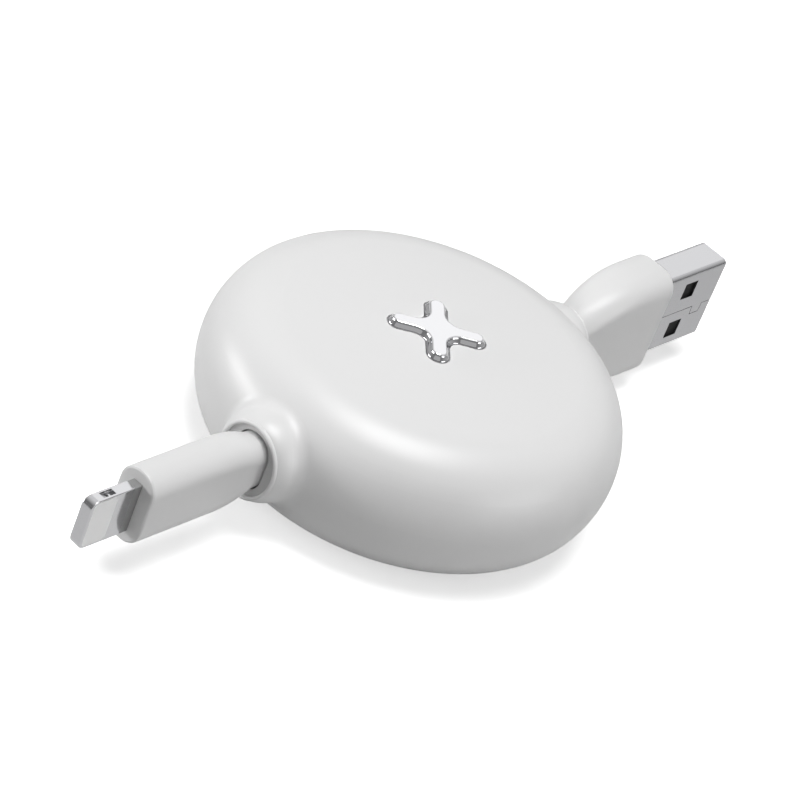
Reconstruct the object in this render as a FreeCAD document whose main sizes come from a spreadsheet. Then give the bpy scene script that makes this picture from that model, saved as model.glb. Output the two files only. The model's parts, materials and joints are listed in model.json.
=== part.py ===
"""A pocket charging cable on a spring reel: a white pebble-shaped pod with a USB-A plug on one
side and a slim reversible phone plug on the other, both drawn home into their outlets.

Everything is drawn about the reel's axis, with the cable outlets at height zero, X along the
outlets (the USB plug is at +X) and Z up. Each piece is then lifted by the height of the outlets,
so the finished part stands with its underside at Z = 0. Lengths are millimetres.
"""

import FreeCAD, Part
import math
import os
import re

import Sketcher
from FreeCAD import Placement, Rotation, Vector

doc = FreeCAD.newDocument("RetractableCable")

# The driving dimensions

DIMENSIONS = {
    # Pod: a round pebble, symmetrical above and below the outlets
    "pod_radius": 26.15,
    "half_height": 10.1,
    "flank_radius": 11.0,
    "shoulder_radius": 8.0,
    "crown_radius": 203.0,
    "wall": 1.6,
    "room_radius": 24.4,
    "room_wall_end": 2.6,
    "room_edge_end": 7.5,
    "axis_height": 9.8,
    "tongue_thick": 0.7,
    "tongue_deep": 1.2,
    "seam_gap": 0.05,
    # Outlets: domed bosses with an oval rim, and a bush that the plug's neck sits in
    "boss_root": 20.0,
    "boss_face": 28.3,
    "rim_tall": 4.89,
    "rim_wide": 4.35,
    "boss_tall": 5.9,
    "boss_wide": 5.75,
    "boss_blend": 2.0,
    "bush_recess": 0.25,
    "bush_inner_end": 24.0,
    "bush_wall": 0.62,
    "hole_tall": 3.8,
    "hole_wide": 2.58,
    # Badge: a four-armed cross, standing a little out of a pocket in the crown
    "badge_reach": 6.11,
    "badge_half": 1.45,
    "badge_inner": 1.5,
    "badge_bevel": 0.5,
    "badge_floor": 9.2,
    "badge_edge": 10.08,
    "badge_top": 10.78,
    "badge_gap": 0.08,
    # Arbor and its screw
    "arbor_radius": 2.5,
    "arbor_foot_radius": 3.2,
    "arbor_top": 5.35,
    "foot_side": 7.4,
    "foot_floor": 8.9,
    "foot_thick": 0.9,
    "running_gap": 0.05,
    "screw_head": 1.9,
    "screw_head_thick": 1.1,
    "screw_shank": 0.8,
    "screw_end": 1.0,
    "centre_boss": 4.6,
    "centre_boss_end": 5.4,
    # Reel
    "flange_radius": 20.4,
    "flange_low": 2.6,
    "flange_high": 3.5,
    "hub_radius": 10.3,
    "hub_wall": 1.0,
    "bearing_radius": 4.2,
    "bearing_top": 5.3,
    "barrel_inner": 12.9,
    "barrel_outer": 13.9,
    "barrel_end": 7.1,
    "cover_thick": 0.5,
    "cover_hole": 4.2,
    # Ratchet and pawl
    "ratchet_inner": 8.2,
    "ratchet_root": 9.6,
    "ratchet_tip": 11.0,
    "ratchet_top": 5.2,
    "pawl_low": 3.75,
    "pawl_high": 5.0,
    "pivot_reach": 15.5,
    "pivot_radius": 1.2,
    "pawl_eye": 2.3,
    "leaf_thick": 0.25,
    "anchor_radius": 0.7,
    # Flat cable
    "cable_thick": 1.0,
    "cable_half_width": 2.4,
    "turn_step": 0.55,
    "first_turn": 10.9,
    "bight_radius": 2.4,
    "guide_radius": 5.0,
    "guide_end": 26.0,
    "neck_end": 26.4,
    # Power spring
    "strip_thick": 0.25,
    "strip_low": 6.95,
    "strip_high": 3.65,
    "strip_step": 0.44,
    "strip_first": 3.7,
    # Neck that both plugs share
    "neck_tall": 3.6,
    "neck_wide": 2.4,
    "neck_shoulder": 28.6,
    # USB plug
    "usb_front": 44.03,
    "usb_tip": 56.79,
    "usb_tall": 7.73,
    "usb_wide": 3.76,
    "usb_corner": 2.6,
    "usb_full": 41.0,
    "usb_edge": 0.35,
    "shell_tall": 12.0,
    "shell_wide": 4.5,
    "shell_sheet": 0.3,
    "shell_corner": 0.65,
    "shell_inner_end": 39.0,
    "window_side": 2.5,
    "window_from_tip": 5.1,
    "window_from_centre": 1.85,
    "tongue_tall": 11.0,
    "tongue_wide": 1.84,
    "tongue_from_tip": 1.6,
    "contact_wide": 1.0,
    "contact_thick": 0.14,
    "contact_start": 46.0,
    # Phone plug
    "phone_front": 47.18,
    "phone_tip": 54.9,
    "phone_tall": 4.9,
    "phone_wide": 2.68,
    "phone_corner": 2.5,
    "phone_full": 35.0,
    "phone_edge": 0.3,
    "tab_tall": 6.7,
    "tab_wide": 1.5,
    "tab_corner": 1.15,
    "tab_collar_end": 48.35,
    "tab_stem_tall": 5.6,
    "tab_stem_wide": 1.0,
    "tab_stem_end": 44.5,
    "pad_start": 50.75,
    "pad_end": 54.35,
    "pad_half": 3.1,
    "pad_deep": 0.3,
    "pad_corner": 0.6,
    "detent_start": 51.0,
    "detent_end": 52.9,
    "detent_half": 0.45,
    "detent_deep": 0.4,
}

RATCHET_TEETH = 12
CABLE_HALF_TURNS = 8
STRIP_HALF_TURNS = 10
PIVOT_ANGLE = 55.0
PAWL_TOOTH_ANGLE = 90.0
PAWL_RELEASE_ANGLE = 11.0

sheet = doc.addObject("Spreadsheet::Sheet", "Dims")
for row, (name, number) in enumerate(DIMENSIONS.items(), start=1):
    sheet.set(f"A{row}", name)
    sheet.set(f"B{row}", str(number))
    sheet.setAlias(f"B{row}", name)
doc.recompute()

pieces = []


# Small helpers


def size(text):
    """The value of a sum such as "pod_radius - 2*wall": sheet names and numbers, with * inside a term."""
    total, sign = 0.0, 1.0
    for word in str(text).split():
        if word in ("+", "-"):
            sign = 1.0 if word == "+" else -1.0
            continue
        term = 1.0
        for factor in word.split("*"):
            minus = factor.startswith("-")
            factor = factor.lstrip("-")
            number = float(DIMENSIONS[factor]) if factor in DIMENSIONS else float(factor)
            term *= -number if minus else number
        total += sign * term
        sign = 1.0
    return total


def formula(text):
    """The same sum as an expression that the document evaluates from the sheet."""
    return re.sub(r"[a-z][a-z_]*", lambda word: f"Dims.{word.group(0)}", str(text))


def bind(thing, **sizes):
    for name, text in sizes.items():
        thing.setExpression(name, formula(text))
    return thing


def place(thing, x="0", y="0", z="0"):
    """Moves an object so that its own origin is at this point."""
    for name, text in (("x", x), ("y", y), ("z", z)):
        thing.setExpression(f".Placement.Base.{name}", formula(text))
    return thing


def box(name, length, width, height, x="0", y="0", z="0"):
    """A block with its centre at x, y and its underside at z."""
    block = doc.addObject("Part::Box", name)
    bind(block, Length=length, Width=width, Height=height)
    block.setExpression(".Placement.Base.x", f"{formula(x)} - ({formula(length)}) / 2")
    block.setExpression(".Placement.Base.y", f"{formula(y)} - ({formula(width)}) / 2")
    block.setExpression(".Placement.Base.z", formula(z))
    return block


def cylinder(name, radius, height, x="0", y="0", z="0"):
    rod = doc.addObject("Part::Cylinder", name)
    bind(rod, Radius=radius, Height=height)
    return place(rod, x, y, z)


def cut(name, base, *tools):
    """The base with each tool taken away in turn."""
    for number, tool in enumerate(tools, start=1):
        last = number == len(tools)
        result = doc.addObject("Part::Cut", name if last else f"{name}Cut{number}")
        result.Base, result.Tool = base, tool
        base = result
    return base


def fuse(name, *shapes):
    result = doc.addObject("Part::MultiFuse", name)
    result.Shapes = list(shapes)
    return result


def common(name, *shapes):
    result = doc.addObject("Part::MultiCommon", name)
    result.Shapes = list(shapes)
    return result


def fixed(name, shape):
    """An object for a form that is worked out here from the sheet's values."""
    thing = doc.addObject("Part::Feature", name)
    thing.Shape = shape
    return thing


def piece(label, thing):
    """Names a finished piece and lifts it to the height of the outlets."""
    thing.Label = label
    thing.setExpression(".Placement.Base.z", "Dims.axis_height")
    pieces.append(thing)
    return thing


# Sketches


def upright_sketch(name):
    """A sketch whose across is X and whose up is Z."""
    sketch = doc.addObject("Sketcher::SketchObject", name)
    sketch.Placement = Placement(Vector(), Rotation(Vector(1, 0, 0), 90))
    return sketch


def hold(sketch, edge, end, axis, text, label):
    """Dimensions one point of a sketch from the origin, along DistanceX or DistanceY."""
    value = size(text)
    if abs(value) < 1e-9:
        line = -2 if axis == "DistanceX" else -1
        sketch.addConstraint(Sketcher.Constraint("PointOnObject", edge, end, line))
        return
    ends = (-1, 1, edge, end) if value > 0 else (edge, end, -1, 1)
    number = sketch.addConstraint(Sketcher.Constraint(axis, *ends, abs(value)))
    sketch.renameConstraint(number, label)
    sign = "" if value > 0 else "-1 * "
    sketch.setExpression(f"Constraints.{label}", f"{sign}({formula(text)})")


def polygon(sketch, corners):
    """A closed outline of straight edges through corners given as sheet sums."""
    points = [Vector(size(x), size(y), 0) for x, y in corners]
    first = sketch.GeometryCount
    for k, point in enumerate(points):
        sketch.addGeometry(Part.LineSegment(point, points[(k + 1) % len(points)]), False)
    for k, (x, y) in enumerate(corners):
        edge = first + k
        follower = first + (k + 1) % len(corners)
        sketch.addConstraint(Sketcher.Constraint("Coincident", edge, 2, follower, 1))
        hold(sketch, edge, 1, "DistanceX", x, f"across{edge}")
        hold(sketch, edge, 1, "DistanceY", y, f"up{edge}")
    return sketch


def revolved(name, profile):
    turned = doc.addObject("Part::Revolution", name)
    turned.Source = profile
    turned.Axis = (0, 0, 1)
    turned.Base = (0, 0, 0)
    turned.Angle = 360
    turned.Solid = True
    return turned


def dome():
    """The upper half of the pod.

    Its side is three arcs that run into each other: a flank that stands upright at the parting
    plane, a tighter shoulder and a nearly flat crown that is level on the axis.
    """
    flank, shoulder, crown = size("flank_radius"), size("shoulder_radius"), size("crown_radius")
    rim, top = size("pod_radius"), size("half_height")
    flank_centre = Vector(rim - flank, 0, 0)
    crown_centre = Vector(0, top - crown, 0)
    apart = crown_centre - flank_centre
    near, far = flank - shoulder, crown - shoulder
    along = (near**2 - far**2 + apart.Length**2) / (2 * apart.Length)
    off = math.sqrt(near**2 - along**2)
    axis = Vector(apart).normalize()
    side = Vector(-axis.y, axis.x, 0)
    centres = [flank_centre + axis * along + side * s * off for s in (-1, 1)]
    shoulder_centre = max(centres, key=lambda c: c.x)
    flank_angle = math.atan2(shoulder_centre.y, shoulder_centre.x - flank_centre.x)
    crown_angle = math.atan2(shoulder_centre.y - crown_centre.y, shoulder_centre.x)

    sketch = upright_sketch("DomeProfile")
    up = Vector(0, 0, 1)
    sketch.addGeometry(Part.LineSegment(Vector(), Vector(rim, 0, 0)), False)
    arcs = (
        (flank_centre, flank, 0, flank_angle),
        (shoulder_centre, shoulder, flank_angle, crown_angle),
        (crown_centre, crown, crown_angle, math.pi / 2),
    )
    for centre, radius, start, end in arcs:
        sketch.addGeometry(Part.ArcOfCircle(Part.Circle(centre, up, radius), start, end), False)
    sketch.addGeometry(Part.LineSegment(Vector(0, top, 0), Vector()), False)
    floor, side_arc, shoulder_arc, crown_arc, centre_line = range(5)
    for constraint in (
        Sketcher.Constraint("Coincident", floor, 1, -1, 1),
        Sketcher.Constraint("Coincident", floor, 2, side_arc, 1),
        Sketcher.Constraint("Tangent", side_arc, 2, shoulder_arc, 1),
        Sketcher.Constraint("Tangent", shoulder_arc, 2, crown_arc, 1),
        Sketcher.Constraint("Coincident", crown_arc, 2, centre_line, 1),
        Sketcher.Constraint("Coincident", centre_line, 2, -1, 1),
        Sketcher.Constraint("PointOnObject", floor, 2, -1),
        Sketcher.Constraint("PointOnObject", side_arc, 3, -1),
        Sketcher.Constraint("PointOnObject", crown_arc, 3, -2),
        Sketcher.Constraint("PointOnObject", centre_line, 1, -2),
    ):
        sketch.addConstraint(constraint)
    hold(sketch, floor, 2, "DistanceX", "pod_radius", "rim")
    hold(sketch, centre_line, 1, "DistanceY", "half_height", "top")
    for arc, radius in ((side_arc, "flank"), (shoulder_arc, "shoulder"), (crown_arc, "crown")):
        number = sketch.addConstraint(Sketcher.Constraint("Radius", arc, size(f"{radius}_radius")))
        sketch.renameConstraint(number, radius)
        sketch.setExpression(f"Constraints.{radius}", formula(f"{radius}_radius"))
    return revolved("OuterDome", sketch)


# Flat strips: the cable, the power spring and the pawl's spring


def arc_run(centre, radius, start, end):
    """A stretch of a strip's middle line on a circle, with its angles in radians."""
    return {"centre": centre, "radius": radius, "start": start, "end": end}


def line_run(start, end):
    return {"from": start, "to": end}


def edge_beside(run, side):
    """The edge of a strip that runs beside a stretch of its middle line, side to the left of it."""
    if "centre" not in run:
        across = (run["to"] - run["from"]).normalize()
        across = Vector(-across.y, across.x, 0) * side
        return run["from"] + across, None, run["to"] + across
    turn = 1 if run["end"] > run["start"] else -1
    radius = run["radius"] - turn * side
    angles = (run["start"], (run["start"] + run["end"]) / 2, run["end"])
    return tuple(run["centre"] + radius * Vector(math.cos(a), math.sin(a), 0) for a in angles)


def strip(runs, thickness, low, high):
    """A strip on edge that follows runs in the XY plane, each leaving in the line of the last."""
    left = [edge_beside(run, thickness / 2) for run in runs]
    right = [edge_beside(run, -thickness / 2) for run in runs]
    edges = []
    for start, middle, end in left:
        edges.append(Part.LineSegment(start, end) if middle is None else Part.Arc(start, middle, end))
    edges.append(Part.LineSegment(left[-1][2], right[-1][2]))
    for start, middle, end in reversed(right):
        edges.append(Part.LineSegment(end, start) if middle is None else Part.Arc(end, middle, start))
    edges.append(Part.LineSegment(right[0][0], left[0][0]))
    face = Part.Face(Part.Wire([edge.toShape() for edge in edges]))
    face.translate(Vector(0, 0, low))
    return face.extrude(Vector(0, 0, high - low))


def half_turns(first, step, count):
    """A spiral of half circles, whose centres lie a step to each side of the axis in turn."""
    runs = []
    for k in range(count):
        centre = Vector(-step if k % 2 == 0 else step, 0, 0)
        runs.append(arc_run(centre, first + (2 * k + 1) * step, k * math.pi, (k + 1) * math.pi))
    return runs


def turned_round(run):
    """The same stretch, half a turn round the axis."""
    if "centre" in run:
        return arc_run(run["centre"] * -1, run["radius"], run["start"] + math.pi, run["end"] + math.pi)
    return line_run(run["from"] * -1, run["to"] * -1)


def reversed_runs(runs):
    """The same stretches followed from the other end."""
    back = []
    for run in reversed(runs):
        if "centre" in run:
            back.append(arc_run(run["centre"], run["radius"], run["end"], run["start"]))
        else:
            back.append(line_run(run["to"], run["from"]))
    return back


# Sections for lofts, which all lie across X


def rounded_wire(x, tall, wide, corner):
    """A rounded rectangle across X, given by its half height, half width and corner radius."""
    corner = min(corner, 0.995 * tall, 0.995 * wide)
    edges = []
    last = None
    for sign_y, sign_z, start in ((1, 1, 0), (-1, 1, 90), (-1, -1, 180), (1, -1, 270)):
        centre = Vector(x, sign_y * (wide - corner), sign_z * (tall - corner))
        angles = [math.radians(start + turn) for turn in (0, 45, 90)]
        ends = [centre + corner * Vector(0, math.cos(a), math.sin(a)) for a in angles]
        if last is None:
            first = ends[0]
        else:
            edges.append(Part.LineSegment(last, ends[0]).toShape())
        edges.append(Part.Arc(*ends).toShape())
        last = ends[2]
    edges.append(Part.LineSegment(last, first).toShape())
    return Part.Wire(edges)


def prism_along_x(tall, wide, corner, start, end):
    """A rounded bar along X between two stations."""
    face = Part.Face(rounded_wire(start, tall, wide, corner))
    return face.extrude(Vector(end - start, 0, 0))


def mirrored_x(shape):
    return shape.mirror(Vector(), Vector(1, 0, 0))


# The pod's shells


def oval_wire(x, tall, wide):
    """An upright oval across X, in four quarters that start and end at the parting plane."""
    edges = []
    for quarter in range(4):
        ellipse = Part.Ellipse(Vector(), tall, wide)
        edges.append(ellipse.toShape(quarter * math.pi / 2, (quarter + 1) * math.pi / 2))
    wire = Part.Wire(edges)
    # the long side is turned upright and the normal to X
    turn = Rotation(Vector(0, 0, 1), Vector(0, 1, 0), Vector(1, 0, 0), "ZXY")
    wire.Placement = Placement(Vector(x, 0, 0), turn)
    return wire


def boss_shape():
    """The domed boss at the +X outlet: ovals that shrink faster and faster towards the rim."""
    root, face = size("boss_root"), size("boss_face")
    wires = []
    for share in (0.0, 0.45, 0.75, 0.92, 1.0):
        swell = (1 - share**5.5) ** 0.8
        tall = size("rim_tall") + (size("boss_tall") - size("rim_tall")) * swell
        wide = size("rim_wide") + (size("boss_wide") - size("rim_wide")) * swell
        wires.append(oval_wire(root + share * (face - root), tall, wide))
    return Part.makeLoft(wires, True, False)


def blended(name, solid):
    """The half pod with a fillet along each line where a boss rises from it."""
    roots = []
    for edge in solid.Shape.Edges:
        extent = edge.BoundBox
        near, far = sorted((abs(extent.XMin), abs(extent.XMax)))
        if near > size("boss_root") and far < size("pod_radius") and extent.ZLength > 1:
            roots.append(edge)
    return fixed(name, solid.Shape.makeFillet(size("boss_blend"), roots))


def cavity():
    """The space inside the upper half: an upright wall, two sloping ones and a nearly flat ceiling."""
    profile = polygon(
        upright_sketch("RoomProfile"),
        [
            ("0", "0"),
            ("room_radius", "0"),
            ("room_radius", "room_wall_end"),
            ("room_radius - 1.8", "room_wall_end + 2.8"),
            ("room_radius - 4.8", "room_edge_end"),
            ("0", "half_height - wall"),
        ],
    )
    return revolved("Room", profile)


def shell_blanks():
    """Upper and lower blanks: the pod with its bosses, hollowed and parted at the outlets' height."""
    span = "3*pod_radius"
    usb_boss = fixed("UsbBoss", boss_shape())
    phone_boss = fixed("PhoneBoss", mirrored_x(boss_shape()))
    usb_side = box("UsbSide", "1.5*pod_radius", span, "2*half_height", x="0.75*pod_radius")
    phone_side = box("PhoneSide", "1.5*pod_radius", span, "2*half_height", x="-0.75*pod_radius")
    solid = fuse(
        "HalfPod",
        dome(),
        common("UsbHalfBoss", usb_boss, usb_side),
        common("PhoneHalfBoss", phone_boss, phone_side),
    )
    doc.recompute()
    upper = cut("UpperBlank", blended("BlendedPod", solid), cavity())
    doc.recompute()
    # the pod is the same on both sides of XZ, so the lower blank is the upper one turned over
    lower = fixed("LowerBlank", upper.Shape.copy().rotate(Vector(), Vector(1, 0, 0), 180))
    return upper, lower


def tunnels(name, extra):
    """The two openings that the bushes go into, larger than the bush by extra all round."""
    tall = size("hole_tall + bush_wall") + extra
    wide = size("hole_wide + bush_wall") + extra
    sleeve = prism_along_x(tall, wide, wide, size("bush_inner_end") - 1, size("boss_face") + 1)
    seat_start = size("boss_face - bush_recess") - 0.7
    tall, wide = size("rim_tall") - 0.42 + extra, size("rim_wide") - 0.42 + extra
    seat = prism_along_x(tall, wide, wide, seat_start - extra, size("boss_face") + 1)
    both = sleeve.fuse(seat)
    return fixed(name, Part.makeCompound([both, mirrored_x(both)]))


def badge_wire(reach, half, inner, height):
    """The cross's outline at a height: round-ended arms on the diagonals and filleted corners."""
    edges = []
    for number in range(4):
        angle = math.radians(45 + 90 * number)
        out = Vector(math.cos(angle), math.sin(angle), 0)
        left = Vector(-out.y, out.x, 0)
        lift = Vector(0, 0, height)
        tip = out * (reach - half)
        root = out * (half + inner)
        corner = root + left * (half + inner)
        next_root = left * (half + inner) + out * half
        middle = corner - (out + left) * (inner / math.sqrt(2))
        points = [
            root - left * half,
            tip - left * half,
            out * reach,
            tip + left * half,
            root + left * half,
            middle,
            next_root,
        ]
        p = [point + lift for point in points]
        edges.append(Part.LineSegment(p[0], p[1]).toShape())
        edges.append(Part.Arc(p[1], p[2], p[3]).toShape())
        edges.append(Part.LineSegment(p[3], p[4]).toShape())
        edges.append(Part.Arc(p[4], p[5], p[6]).toShape())
    return Part.Wire(edges)


def badge_shape(gap, low, high):
    """An upright prism of the cross, larger all round by a gap."""
    reach, half, inner = size("badge_reach") + gap, size("badge_half") + gap, size("badge_inner") - gap
    face = Part.Face(badge_wire(reach, half, inner, low))
    return face.extrude(Vector(0, 0, high - low))


def make_shells():
    upper, lower = shell_blanks()
    openings = tunnels("OutletTunnels", 0.03)
    pocket = fixed("BadgePocket", badge_shape(size("badge_gap"), size("badge_floor"), size("badge_top")))

    # a tongue round the upper shell's rim drops into a step in the lower one
    tongue_ring = cut(
        "TongueRing",
        cylinder("TongueOuter", "room_radius + tongue_thick", "tongue_deep", z="-1*tongue_deep"),
        cylinder("TongueInner", "room_radius", "tongue_deep", z="-1*tongue_deep"),
    )
    step_tool = cylinder(
        "StepTool",
        "room_radius + tongue_thick + seam_gap",
        "tongue_deep + seam_gap",
        z="-1*tongue_deep - seam_gap",
    )

    # inside the upper shell: the boss that the screw draws down, and the pawl's pivot
    ceiling = "half_height - wall + 0.3"
    screw_seat = "badge_floor - screw_head_thick - 0.05"
    centre_tall = f"{ceiling} - centre_boss_end"
    centre_boss = cylinder("CentreBoss", "centre_boss", centre_tall, z="centre_boss_end")
    pivot_x = f"{math.cos(math.radians(PIVOT_ANGLE)):.6f}*pivot_reach"
    pivot_y = f"{math.sin(math.radians(PIVOT_ANGLE)):.6f}*pivot_reach"
    pin_tall = f"{ceiling} - pawl_low + 0.1"
    pivot = cylinder("PivotPin", "pivot_radius", pin_tall, pivot_x, pivot_y, "pawl_low - 0.1")
    anchor_point = spring_anchor()
    anchor_x, anchor_y = f"{anchor_point.x:.4f}", f"{anchor_point.y:.4f}"
    peg_height = f"{ceiling} - pawl_low"
    anchor = cylinder("SpringAnchor", "anchor_radius", peg_height, anchor_x, anchor_y, "pawl_low")
    shank_hole = cylinder("ShankHole", "screw_shank + 0.2", "badge_top", z="centre_boss_end - 1")
    head_hole = cylinder("HeadHole", "screw_head + 0.15", "badge_top", z=screw_seat)
    upper_solid = fuse("UpperParts", upper, tongue_ring, centre_boss, pivot, anchor)
    piece("upper_shell", cut("UpperShell", upper_solid, openings, pocket, shank_hole, head_hole))

    # inside the lower shell: the square pocket that keeps the arbor from turning
    foot_pocket = box("FootPocket", "foot_side + 0.1", "foot_side + 0.1", "1", z="-1*foot_floor")
    underside = box("Underside", "2*pod_radius", "2*pod_radius", "2", z="-1*axis_height - 2")
    openings_low = tunnels("OutletTunnelsLow", 0.03)
    piece("lower_shell", cut("LowerShell", lower, openings_low, step_tool, foot_pocket, underside))


def make_badge():
    """The badge: an upright foot in the pocket, and sides that lean in and round over at the top."""
    reach, half, inner = size("badge_reach"), size("badge_half"), size("badge_inner")
    bevel, edge, top = size("badge_bevel"), size("badge_edge"), size("badge_top")
    badge = badge_shape(0, size("badge_floor"), edge)
    wires = []
    for up, inward in ((0.0, 0.0), (0.6, 0.36), (0.87, 0.64), (1.0, 1.0)):
        inset = bevel * inward
        height = edge + up * (top - edge)
        wires.append(badge_wire(reach - inset, half - inset, inner + inset, height))
    badge = badge.fuse(Part.makeLoft(wires, True, True))
    piece("cross_badge", fixed("Badge", badge.removeSplitter()))


def make_bushes():
    """The outlet bushes: an oval sleeve for the plug's neck, with a flange that fills the rim."""
    sides = ("usb_outlet_bush", "UsbBush", False), ("phone_outlet_bush", "PhoneBush", True)
    for label, name, flip in sides:
        tall, wide = size("hole_tall + bush_wall"), size("hole_wide + bush_wall")
        face_x = size("boss_face - bush_recess")
        sleeve = prism_along_x(tall, wide, wide, size("bush_inner_end"), face_x)
        flange_tall, flange_wide = size("rim_tall") - 0.42, size("rim_wide") - 0.42
        flange = prism_along_x(flange_tall, flange_wide, flange_wide, face_x - 0.7, face_x)
        hole_wide = size("hole_wide")
        inner_end = size("bush_inner_end") - 1
        hole = prism_along_x(size("hole_tall"), hole_wide, hole_wide, inner_end, face_x + 1)
        bush = sleeve.fuse(flange).cut(hole).removeSplitter()
        piece(label, fixed(name, mirrored_x(bush) if flip else bush))


# The reel and what it turns on


def make_arbor():
    lower_tall = "foot_floor - flange_high - 0.1"
    upper_tall = "arbor_top + flange_high + 0.1"
    lower = cylinder("ArborLower", "arbor_foot_radius", lower_tall, z="-1*foot_floor")
    upper = cylinder("ArborUpper", "arbor_radius", upper_tall, z="-1*flange_high - 0.1")
    foot = box("ArborFoot", "foot_side", "foot_side", "foot_thick", z="-1*foot_floor")
    bore = cylinder("ArborBore", "screw_shank + 0.01", "arbor_top", z="screw_end - 0.5")
    hook = size("strip_first") - 1.6
    slot = fixed(
        "StripSlot",
        Part.makeBox(5.6, 0.9, 3.6, Vector(-hook, -1.9, -size("strip_low") - 0.1)),
    )
    piece("arbor", cut("Arbor", fuse("ArborSolid", lower, upper, foot), bore, slot))
    head_low = "badge_floor - screw_head_thick - 0.05"
    head = cylinder("ScrewHead", "screw_head", "screw_head_thick", z=head_low)
    shank = cylinder("ScrewShank", "screw_shank", f"{head_low} - screw_end", z="screw_end")
    drive = fuse(
        "ScrewDrive",
        box("DriveAcross", "2", "0.5", "1", z="badge_floor - 0.65"),
        box("DriveAlong", "0.5", "2", "1", z="badge_floor - 0.65"),
    )
    piece("centre_screw", cut("Screw", fuse("ScrewSolid", head, shank), drive))


def make_reel():
    """The reel: bearing, hub and spring barrel under it, with the hub's wall open for the cable."""
    bore = "arbor_radius + running_gap"
    base = polygon(
        upright_sketch("ReelProfile"),
        [
            (bore, "-1*flange_high"),
            ("barrel_inner", "-1*flange_high"),
            ("barrel_inner", "-1*barrel_end"),
            ("barrel_outer", "-1*barrel_end"),
            ("barrel_outer", "-1*flange_high"),
            ("flange_radius", "-1*flange_high"),
            ("flange_radius", "-1*flange_low"),
            ("hub_radius", "-1*flange_low"),
            ("hub_radius", "flange_low"),
            ("hub_radius - hub_wall", "flange_low"),
            ("hub_radius - hub_wall", "-1*flange_low"),
            ("bearing_radius", "-1*flange_low"),
            ("bearing_radius", "flange_low"),
            (bore, "flange_low"),
        ],
    )
    turned = revolved("ReelTurned", base)
    gates = [
        box("HubGateIn", "3.4", "4.8", "2*flange_low", "-1*hub_radius + 0.7", "1.1", "-1*flange_low"),
        box("HubGateOut", "5", "7.6", "2*flange_low", "hub_radius - 1.6", "-3.4", "-1*flange_low"),
        box(
            *("SpringSlot", "0.45", "4.2", "barrel_end - flange_high"),
            *("barrel_inner - 0.4", "4.4", "-1*barrel_end"),
        ),
    ]
    piece("reel", cut("Reel", turned, *gates))


def make_reel_cap():
    """The reel's upper flange, with the ratchet's twelve saw teeth on it."""
    body = doc.addObject("PartDesign::Body", "ReelCap")
    planes = {feature.Role: feature for feature in body.Origin.OriginFeatures}
    bore = "arbor_radius + running_gap"
    profile = body.newObject("Sketcher::SketchObject", "CapProfile")
    profile.AttachmentSupport = (planes["XZ_Plane"], [""])
    profile.MapMode = "FlatFace"
    doc.recompute()
    polygon(
        profile,
        [
            (bore, "flange_low"),
            ("flange_radius", "flange_low"),
            ("flange_radius", "flange_high"),
            ("ratchet_root", "flange_high"),
            ("ratchet_root", "ratchet_top"),
            ("ratchet_inner", "ratchet_top"),
            ("ratchet_inner", "flange_high"),
            ("bearing_radius", "flange_high"),
            ("bearing_radius", "bearing_top"),
            (bore, "bearing_top"),
        ],
    )
    turned = body.newObject("PartDesign::Revolution", "CapTurned")
    turned.Profile = profile
    turned.ReferenceAxis = (profile, ["V_Axis"])
    turned.Angle = 360
    doc.recompute()
    tooth = body.newObject("Sketcher::SketchObject", "ToothProfile")
    tooth.AttachmentSupport = (planes["XY_Plane"], [""])
    tooth.MapMode = "FlatFace"
    tooth.setExpression(".AttachmentOffset.Base.z", "Dims.flange_high")
    doc.recompute()
    # the tooth's steep face is radial, along the sketch's across axis, and its back slopes away
    pitch = math.radians(360 / RATCHET_TEETH)
    back_x, back_y = math.cos(pitch), math.sin(pitch)
    polygon(
        tooth,
        [
            ("ratchet_root - 0.3", "0"),
            ("ratchet_tip", "0"),
            (f"{back_x:.6f}*ratchet_root - 0.02", f"{back_y:.6f}*ratchet_root"),
            (f"{back_x:.6f}*ratchet_root - 0.5", f"{back_y:.6f}*ratchet_root - 0.5"),
        ],
    )
    pad = body.newObject("PartDesign::Pad", "ToothPad")
    pad.Profile = tooth
    pad.setExpression("Length", "Dims.ratchet_top - Dims.flange_high")
    doc.recompute()
    ring = body.newObject("PartDesign::PolarPattern", "ToothRing")
    ring.Originals = [pad]
    ring.Axis = (planes["Z_Axis"], [""])
    ring.Angle = 360
    ring.Occurrences = RATCHET_TEETH
    body.Tip = ring
    doc.recompute()
    piece("reel_cap", body)


def make_spring_cover():
    plate = cylinder("CoverPlate", "barrel_outer", "cover_thick", z="-1*barrel_end - cover_thick")
    hole = cylinder("CoverHole", "cover_hole", "2*cover_thick", z="-1*barrel_end - 1.5*cover_thick")
    piece("spring_cover", cut("SpringCover", plate, hole))


def make_power_spring():
    """The spiral spring: hooked into the arbor's slot and wound out to the barrel's wall."""
    first, hook = size("strip_first"), 1.6
    start = Vector(first - hook, -hook, 0)
    runs = [
        line_run(start - Vector(3, 0, 0), start),
        arc_run(Vector(first - hook, 0, 0), hook, -math.pi / 2, 0),
    ]
    runs += half_turns(first, size("strip_step"), STRIP_HALF_TURNS)
    outermost = Vector(first + 2 * STRIP_HALF_TURNS * size("strip_step"), 0, 0)
    runs.append(line_run(outermost, outermost + Vector(0, 5.6, 0)))
    shape = strip(runs, size("strip_thick"), -size("strip_low"), -size("strip_high"))
    piece("power_spring", fixed("PowerSpring", shape))


# The flat cable


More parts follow.
